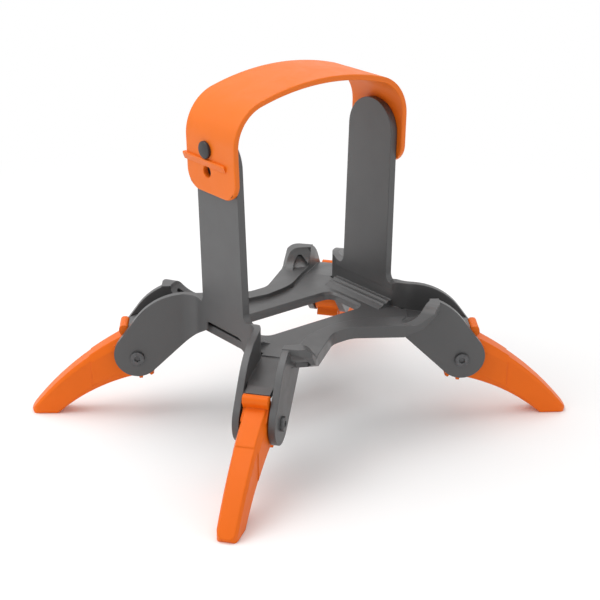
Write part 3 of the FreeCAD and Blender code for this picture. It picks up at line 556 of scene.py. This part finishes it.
@dataclass
class CarryStrap:
    """Soft band bent over the two upright plates. Lengths are in millimetres."""

    half_width: float = 14.4
    thickness: float = 2.1
    top_z: float = 132.8
    crown_r: float = 98.0
    shoulder_r: float = 16.0
    end_z: float = 94.4
    end_r: float = 7.0
    lean_deg: float = 1.75
    plate_in_x: float = 32.0
    plate_t: float = 2.8
    seat_gap: float = 0.3
    foot_z: float = 48.5
    cell: float = 0.9
    hole_border: float = 0.35
    hole_edge: float = 0.2
    hole_clear: float = 1.5
    hole_y: float = 2.2
    hole_r: float = 2.2
    stud_z: float = 110.6
    spare_z: float = 102.4
    ridge_low: float = 104.8
    ridge_high: float = 107.0
    ridge_rise: float = 0.9
    ridge_flat: float = 0.7
    ridge_fade: float = 0.5
    ridge_lip: float = 0.1
    ridge_root: float = 0.6
    ridge_round: float = 1.0
    ridge_edge: float = 0.16
    ridge_end: float = 9.3
    ridge_overhang: float = 1.0
    edge: float = 0.55
    sharp_deg: float = 60.0
    hole_segments: int = 2
    edge_segments: int = 4
    ridge_round_segments: int = 5
    ridge_edge_segments: int = 3
    near: float = 1e-4
    band_smooth_deg: float = 70.0
    ridge_smooth_deg: float = 50.0
    spans: tuple[float, float, float] = field(init=False)
    shoulder_x: float = field(init=False)
    shoulder_z: float = field(init=False)
    crown_angle: float = field(init=False)

    def __post_init__(self) -> None:
        """Work out the centre of the shoulder arc and the length of each stretch of the arch."""
        lean = math.radians(self.lean_deg)
        centre_z = self.top_z - self.crown_r
        face = self.plate_t + self.seat_gap + self.thickness - self.shoulder_r
        clear = self.plate_in_x * math.cos(lean) + (centre_z - self.foot_z) * math.sin(lean) + face
        along = math.sqrt((self.crown_r - self.shoulder_r) ** 2 - clear ** 2)
        self.shoulder_x = clear * math.cos(lean) + along * math.sin(lean)
        self.shoulder_z = centre_z - clear * math.sin(lean) + along * math.cos(lean)
        self.crown_angle = math.atan2(self.shoulder_x, self.shoulder_z - centre_z)
        low_angle = math.pi / 2 + lean
        low_z = self.shoulder_z + self.shoulder_r * math.cos(low_angle)
        self.spans = (
            self.crown_r * self.crown_angle,
            self.shoulder_r * (low_angle - self.crown_angle),
            (low_z - self.end_z) / math.cos(lean),
        )

    def on_arch(self, run: float, rise: float = 0.0) -> tuple[float, float]:
        """Point on the arch's outer face.

        Args:
            run: Signed length along the face from the middle of the crown.
            rise: Height above the face.

        Returns:
            X and Z.
        """
        crown, shoulder, _ = self.spans
        side = 1.0 if run >= 0 else -1.0
        length = abs(run)
        lean = math.radians(self.lean_deg)
        low_angle = math.pi / 2 + lean
        if length <= crown:
            angle = length / self.crown_r
            reach = self.crown_r + rise
            return side * reach * math.sin(angle), self.top_z - self.crown_r + reach * math.cos(angle)
        angle = min(low_angle, self.crown_angle + (length - crown) / self.shoulder_r)
        reach = self.shoulder_r + rise
        x = self.shoulder_x + reach * math.sin(angle)
        z = self.shoulder_z + reach * math.cos(angle)
        straight = max(0.0, length - crown - shoulder)
        return side * (x - straight * math.sin(lean)), z - straight * math.cos(lean)

    def run_at(self, height: float) -> float:
        """Length along the outer face down to a height on the straight end."""
        crown, shoulder, straight = self.spans
        return crown + shoulder + straight - (height - self.end_z) / math.cos(math.radians(self.lean_deg))

    def blank(self) -> bmesh.types.BMesh:
        """Flat sheet in millimetres: length along X, width along Y, ends rounded.

        Returns:
            The sheet as a grid of near-square cells.
        """
        half_length = sum(self.spans)
        sheet = bmesh.new()
        bmesh.ops.create_grid(
            sheet, x_segments=round(2 * half_length / self.cell),
            y_segments=round(2 * self.half_width / self.cell), size=1.0)
        bmesh.ops.scale(sheet, vec=(half_length, self.half_width, 1.0), verts=sheet.verts)
        for vert in sheet.verts:
            a = (abs(vert.co.x) - half_length + self.end_r) / self.end_r
            b = (abs(vert.co.y) - self.half_width + self.end_r) / self.end_r
            if a > 0 and b > 0:
                over_x = a * math.sqrt(1 - b * b / 2) - a
                over_y = b * math.sqrt(1 - a * a / 2) - b
                vert.co.x += math.copysign(1.0, vert.co.x) * over_x * self.end_r
                vert.co.y += math.copysign(1.0, vert.co.y) * over_y * self.end_r
        return sheet

    def punch(self, sheet: bmesh.types.BMesh, centre: Vector) -> None:
        """Cut one round hole in the flat sheet.

        Args:
            sheet: The flat sheet.
            centre: Middle of the hole.
        """
        border = {e for e in sheet.edges if e.is_boundary}
        clear = self.hole_r + self.hole_clear * self.hole_border
        inside = [f for f in sheet.faces if min((v.co - centre).length for v in f.verts) < clear]
        bmesh.ops.delete(sheet, geom=inside, context="FACES")
        ring = [e for e in sheet.edges if e.is_boundary and e not in border]
        for radius in (self.hole_r + self.hole_border, self.hole_r):
            grown = bmesh.ops.extrude_edge_only(sheet, edges=ring)["geom"]
            for vert in (g for g in grown if isinstance(g, bmesh.types.BMVert)):
                vert.co = centre + (vert.co - centre).normalized() * radius
            ring = [g for g in grown if isinstance(g, bmesh.types.BMEdge) and g.is_boundary]

    def round_rims(self, sheet: bmesh.types.BMesh) -> None:
        """Round the long rims of the band fully and the rims of its holes a little.

        Args:
            sheet: The flat sheet with its full thickness.
        """
        centres = [Vector((side.value * self.run_at(height), self.hole_y, 0))
                   for side in Side for height in (self.stud_z, self.spare_z)]
        limit = math.radians(self.sharp_deg)
        sharp = [e for e in sheet.edges if len(e.link_faces) == 2 and e.calc_face_angle() > limit]
        holes = []
        for edge in sharp:
            middle = (edge.verts[0].co + edge.verts[1].co) / 2
            if min((middle - c).to_2d().length for c in centres) < self.hole_r + self.hole_border:
                holes.append(edge)
        rims = [e for e in sharp if e not in set(holes)]
        for geom, offset, segments in (
                (holes, self.hole_edge, self.hole_segments), (rims, self.edge, self.edge_segments)):
            bmesh.ops.bevel(
                sheet, geom=geom, offset=offset, segments=segments, profile=ROUND_PROFILE,
                affect="EDGES", material=-1)

    def bend(self, sheet: bmesh.types.BMesh) -> None:
        """Carry every vertex of the flat sheet onto the arch, in metres.

        Args:
            sheet: The flat sheet, or a ridge in the sheet's flat frame.
        """
        for vert in sheet.verts:
            x, z = self.on_arch(vert.co.x, vert.co.z)
            vert.co = Vector((x, vert.co.y, z)) * MM

    def ridge(self, side: Side) -> bmesh.types.BMesh:
        """Finger ridge across one end, flat: a wedge with a crisp upper edge and a rounded free end.

        Args:
            side: Which end of the strap.

        Returns:
            The ridge in the sheet's flat frame.
        """
        foot = self.ridge_low - self.ridge_fade
        profile = (
            (self.ridge_high, -self.ridge_root),
            (self.ridge_high, self.ridge_rise),
            (self.ridge_high - self.ridge_flat, self.ridge_rise),
            (foot, self.ridge_lip),
            (foot, -self.ridge_root),
        )
        bar = bmesh.new()
        corners = [bar.verts.new((side.value * self.run_at(h), -self.ridge_end, z)) for h, z in profile]
        section = bar.faces.new(corners)
        grown = bmesh.ops.extrude_face_region(bar, geom=[section])["geom"]
        far = [g for g in grown if isinstance(g, bmesh.types.BMVert)]
        length = self.half_width + self.ridge_overhang + self.ridge_end
        bmesh.ops.translate(bar, vec=(0, length, 0), verts=far)
        bmesh.ops.recalc_face_normals(bar, faces=bar.faces)
        free = [e for e in bar.edges if max(v.co.y for v in e.verts) < -self.ridge_end + self.near
                and abs(e.verts[0].co.x - e.verts[1].co.x) < self.near]
        bmesh.ops.bevel(
            bar, geom=free, offset=self.ridge_round, segments=self.ridge_round_segments,
            profile=ROUND_PROFILE, affect="EDGES", material=-1)
        crest = [e for e in bar.edges if min(v.co.z for v in e.verts) > self.ridge_rise - self.near]
        bmesh.ops.bevel(
            bar, geom=crest, offset=self.ridge_edge, segments=self.ridge_edge_segments,
            profile=ROUND_PROFILE, affect="EDGES", material=-1)
        return bar

    def build(self, shop: Workshop) -> None:
        """Make the strap and its ridges in place of the plain CAD solid.

        Args:
            shop: Source of the materials.
        """
        sheet = self.blank()
        for side in Side:
            for height in (self.stud_z, self.spare_z):
                self.punch(sheet, Vector((side.value * self.run_at(height), self.hole_y, 0)))
        bmesh.ops.recalc_face_normals(sheet, faces=sheet.faces)
        if sum(f.normal.z for f in sheet.faces) < 0:
            bmesh.ops.reverse_faces(sheet, faces=sheet.faces)
        bmesh.ops.solidify(sheet, geom=list(sheet.faces), thickness=self.thickness)
        high = max(v.co.z for v in sheet.verts)
        bmesh.ops.translate(sheet, vec=(0, 0, -high), verts=sheet.verts)
        self.round_rims(sheet)
        self.bend(sheet)
        strap = shop.finish_mesh("strap_band", sheet, Slot.STRAP, "cradle", self.band_smooth_deg)
        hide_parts("carry_strap")
        for side in Side:
            bar = self.ridge(side)
            self.bend(bar)
            name = "strap_ridge_" + side.name.lower()
            shop.finish_mesh(name, bar, Slot.STRAP, "cradle", self.ridge_smooth_deg)
        log.info("built the strap and its ridges")


@dataclass
class StrapStud:
    """Flat button through the strap. Lengths are in millimetres."""

    side: Side
    neck_r: float = 2.0
    head_r: float = 3.1
    head_t: float = 1.3
    dome: float = 0.16
    bevel: float = 0.34
    chamfer: float = 0.15
    base_x: float = 32.9
    seat_x: float = 37.25
    hole_y: float = 2.2
    centre_z: float = 110.6
    pivot_x: float = 32.0
    pivot_z: float = 48.5
    lean_deg: float = 1.75
    smooth_deg: float = 35.0
    bevel_steps: int = 4
    dome_steps: int = 4
    steps: int = 48

    def profile(self) -> list[tuple[float, float]]:
        """Half outline from the tip of the neck to the top of the head.

        Returns:
            Distance along the axis and radius of each point.
        """
        seat = self.seat_x
        shoulder = seat + self.head_t - self.dome - self.bevel
        points = [(self.base_x, 0.0), (self.base_x, self.neck_r), (seat, self.neck_r),
                  (seat, self.head_r - self.chamfer), (seat + self.chamfer, self.head_r)]
        for i in range(self.bevel_steps + 1):
            angle = math.radians(90.0 / self.bevel_steps * i)
            points.append((shoulder + self.bevel * math.sin(angle),
                           self.head_r - self.bevel * (1 - math.cos(angle))))
        flat_r = self.head_r - self.bevel
        for i in range(1, self.dome_steps + 1):
            radius = flat_r * (1 - i / self.dome_steps)
            points.append((shoulder + self.bevel + self.dome * (1 - (radius / flat_r) ** 2), radius))
        return points

    def build(self, shop: Workshop) -> None:
        """Spin the half outline into the stud and set it in place of the CAD node.

        Args:
            shop: Source of the materials.
        """
        mesh = bmesh.new()
        verts = [mesh.verts.new(Vector((a, r, 0)) * MM) for a, r in self.profile()]
        edges = [mesh.edges.new(pair) for pair in zip(verts, verts[1:])]
        bmesh.ops.spin(
            mesh, geom=verts + edges, cent=(0, 0, 0), axis=(1, 0, 0), angle=math.tau,
            steps=self.steps, use_merge=True, use_duplicate=False)
        bmesh.ops.remove_doubles(mesh, verts=mesh.verts, dist=MERGE_DISTANCE)
        bmesh.ops.translate(mesh, vec=Vector((0, self.hole_y, self.centre_z)) * MM, verts=mesh.verts)
        pivot = Vector((self.pivot_x, 0, self.pivot_z)) * MM
        turn = Matrix.Rotation(math.radians(self.lean_deg), 3, "Y")
        bmesh.ops.rotate(mesh, cent=pivot, matrix=turn, verts=mesh.verts)
        bmesh.ops.scale(mesh, vec=(self.side.value, 1, 1), verts=mesh.verts)
        name = "strap_stud_" + self.side.name.lower()
        stud = shop.finish_mesh(
            "button_" + self.side.name.lower(), mesh, Slot.STUD, "cradle", self.smooth_deg)
        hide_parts(name)
        log.info("built %s", name)


@dataclass
class Studio:
    """Floor, lights and camera. Lengths are in metres."""

    floor_half: float = 3.0
    floor_colour: tuple[float, float, float, float] = (0.96, 0.96, 0.96, 1.0)
    shadow_reach: float = 0.12
    shadow_fade: float = 3.0
    focus: tuple[float, float, float] = (0.0, 0.0, 0.05)
    azimuth_deg: float = -38.45
    elevation_deg: float = 22.24
    distance: float = 0.5745
    offset: tuple[float, float] = (-0.00047, 0.00446)
    lens: float = 92.46
    sensor_width: float = 36.0
    clip_start: float = 0.01
    world: float = 0.55
    lights: tuple[tuple[str, tuple[float, float, float], float, float], ...] = (
        ("key", (-0.75, 0.35, 0.9), 1.0, 6.5),
        ("top", (0.1, 0.3, 1.2), 1.1, 6.5),
        ("fill", (0.3, -1.1, 0.5), 1.0, 1.6),
    )

    def build(self) -> None:
        """Set up everything around the object."""
        self.build_world()
        self.build_floor()
        for name, place, size, watts in self.lights:
            self.build_light(name, place, size, watts)
        self.build_camera()
        bpy.context.scene.view_settings.view_transform = "Standard"
        log.info("studio ready")

    def build_world(self) -> None:
        """Even pale surroundings, seen as plain white."""
        world = bpy.data.worlds.new("studio_world")
        world.use_nodes = True
        tree = world.node_tree
        tree.nodes.clear()
        path = tree.nodes.new("ShaderNodeLightPath")
        glossy = tree.nodes.new("ShaderNodeMath")
        glossy.operation = "MAXIMUM"
        tree.links.new(path.outputs["Is Glossy Ray"], glossy.inputs[0])
        tree.links.new(path.outputs["Is Transmission Ray"], glossy.inputs[1])
        seen = tree.nodes.new("ShaderNodeMath")
        seen.operation = "MAXIMUM"
        tree.links.new(path.outputs["Is Camera Ray"], seen.inputs[0])
        tree.links.new(glossy.outputs["Value"], seen.inputs[1])
        strength = tree.nodes.new("ShaderNodeMapRange")
        strength.inputs["To Min"].default_value = self.world
        strength.inputs["To Max"].default_value = 1.0
        tree.links.new(seen.outputs["Value"], strength.inputs["Value"])
        background = tree.nodes.new("ShaderNodeBackground")
        background.inputs["Color"].default_value = WHITE
        tree.links.new(strength.outputs["Result"], background.inputs["Strength"])
        output = tree.nodes.new("ShaderNodeOutputWorld")
        tree.links.new(background.outputs["Background"], output.inputs["Surface"])
        bpy.context.scene.world = world

    def build_floor(self) -> None:
        """Plain pale floor that shows a soft shadow."""
        mesh = bmesh.new()
        bmesh.ops.create_grid(mesh, x_segments=1, y_segments=1, size=self.floor_half)
        data = bpy.data.meshes.new("floor")
        mesh.to_mesh(data)
        mesh.free()
        floor = bpy.data.objects.new("floor", data)
        bpy.context.scene.collection.objects.link(floor)
        graph = NodeGraph("floor_white")
        lit = graph.add("ShaderNodeBsdfDiffuse", {"Color": self.floor_colour})
        white = graph.add("ShaderNodeEmission", {"Color": WHITE, "Strength": 1.0})
        place = graph.add("ShaderNodeTexCoord").outputs["Object"]
        away = graph.add("ShaderNodeVectorMath", {0: place}, operation="LENGTH")
        far = graph.add("ShaderNodeMapRange", {
            "Value": away.outputs["Value"], "From Min": self.shadow_reach,
            "From Max": self.shadow_fade * self.shadow_reach, "To Min": 0.0, "To Max": 1.0},
            interpolation_type="SMOOTHSTEP")
        seen = graph.add("ShaderNodeLightPath").outputs["Is Camera Ray"]
        blend = graph.add("ShaderNodeMath", {0: far.outputs["Result"], 1: seen}, operation="MULTIPLY")
        shader = graph.add("ShaderNodeMixShader", {
            0: blend.outputs["Value"], 1: lit.outputs["BSDF"], 2: white.outputs["Emission"]})
        graph.add("ShaderNodeOutputMaterial", {"Surface": shader.outputs["Shader"]})
        data.materials.append(graph.material)

    def build_light(self, name: str, place: tuple[float, float, float], size: float, watts: float) -> None:
        """Add one square soft light aimed at the object.

        Args:
            name: Name of the light.
            place: Its position relative to the point of focus.
            size: Edge length.
            watts: Power.
        """
        lamp = bpy.data.lights.new(name, "AREA")
        lamp.size = size
        lamp.energy = watts
        holder = bpy.data.objects.new(name, lamp)
        bpy.context.scene.collection.objects.link(holder)
        holder.location = Vector(self.focus) + Vector(place)
        holder.rotation_euler = Vector(place).to_track_quat("Z", "Y").to_euler()

    def build_camera(self) -> None:
        """Camera at the photograph's angle, distance and framing."""
        azimuth = math.radians(self.azimuth_deg)
        elevation = math.radians(self.elevation_deg)
        right = Vector((math.cos(azimuth), math.sin(azimuth), 0))
        back = Vector((
            math.sin(azimuth) * math.cos(elevation), -math.cos(azimuth) * math.cos(elevation),
            math.sin(elevation)))
        up = back.cross(right)
        camera = bpy.data.cameras.new("camera")
        camera.lens = self.lens
        camera.sensor_width = self.sensor_width
        camera.clip_start = self.clip_start
        holder = bpy.data.objects.new("camera", camera)
        bpy.context.scene.collection.objects.link(holder)
        turn = Matrix((right, up, back)).transposed().to_4x4()
        place = Vector(self.focus) + back * self.distance - right * self.offset[0] - up * self.offset[1]
        holder.matrix_world = Matrix.Translation(place) @ turn
        bpy.context.scene.camera = holder


def main() -> None:
    """Build the dressed landing gear and its studio."""
    logging.basicConfig(level=logging.INFO, format="%(name)s: %(message)s")
    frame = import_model()
    shop = Workshop()
    CradleFrame().dress(frame, shop)
    for arm, signs in ARMS.items():
        FoldingLeg(arm).dress(frame, shop)
        PivotHardware(arm, signs).build(shop)
    CarryStrap().build(shop)
    for side in Side:
        StrapStud(side).build(shop)
    Studio().build()


if __name__ == "__main__":
    main()
